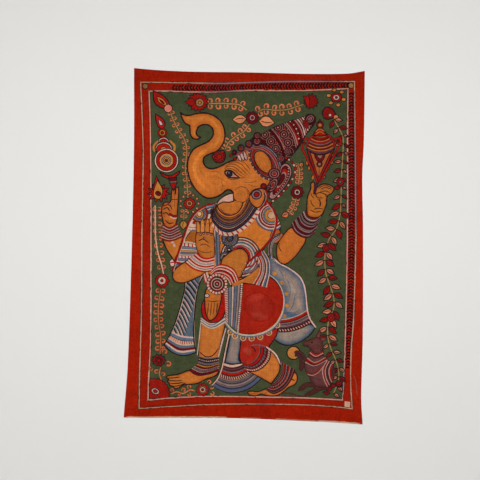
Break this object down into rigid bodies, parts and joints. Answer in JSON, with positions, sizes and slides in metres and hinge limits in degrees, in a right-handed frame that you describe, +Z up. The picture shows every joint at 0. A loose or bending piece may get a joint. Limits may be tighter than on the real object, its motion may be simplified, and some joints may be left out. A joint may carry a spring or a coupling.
{
  "type": "kalamkari wall panel",
  "caption": "Hand-painted cotton wall hanging: one upright rectangular cloth with a red border round a figured green field, held by its top edge.",
  "frame": {"origin": "middle of the cloth's top edge, where it is held to the wall", "axes": "+Z up along the drop, -Y out of the painted face towards the viewer, +X to the viewer's right"},
  "size_m": [0.766, 0.0179, 1.132],
  "materials": {
    "dyed_cotton": "matt hand-dyed plain-weave cotton, madder red border and figured field"
  },
  "bodies": {
    "root": {"painted_cloth": "dyed_cotton"}
  },
  "joints": []
}
